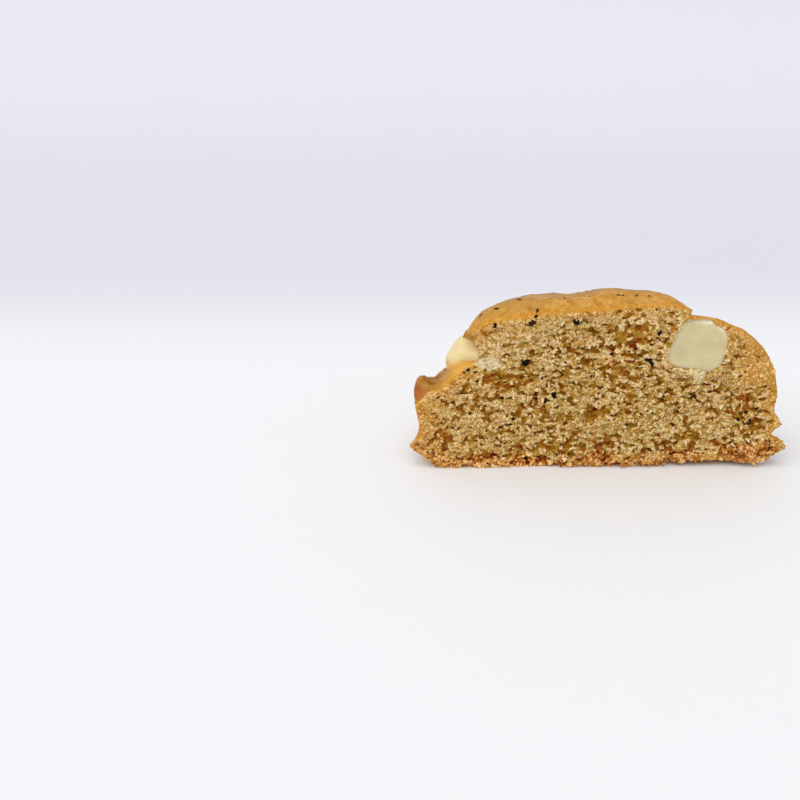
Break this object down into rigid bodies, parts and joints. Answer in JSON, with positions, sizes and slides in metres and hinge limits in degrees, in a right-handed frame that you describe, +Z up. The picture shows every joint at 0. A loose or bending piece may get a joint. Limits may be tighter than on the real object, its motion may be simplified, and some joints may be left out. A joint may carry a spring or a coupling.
{
  "type": "halved scone",
  "caption": "Half of a round baked scone with a domed golden crust, an open flecked crumb on the cut face and pale sweet chunks, resting on its flat base.",
  "frame": {"origin": "middle of the box on the surface that the base rests on", "axes": "+X along the cut face, to the right seen from the cut side; +Y from the cut face to the rounded back; +Z up"},
  "size_m": [0.0824, 0.0392, 0.0391],
  "materials": {
    "baked_dough": "matte, rough and porous baked crumb with a smoother golden crust",
    "white_chocolate": "satin, slightly waxy"
  },
  "bodies": {
    "root": {"scone_body": "baked_dough", "chocolate_sliced": "white_chocolate", "chocolate_side": "white_chocolate"}
  },
  "joints": []
}
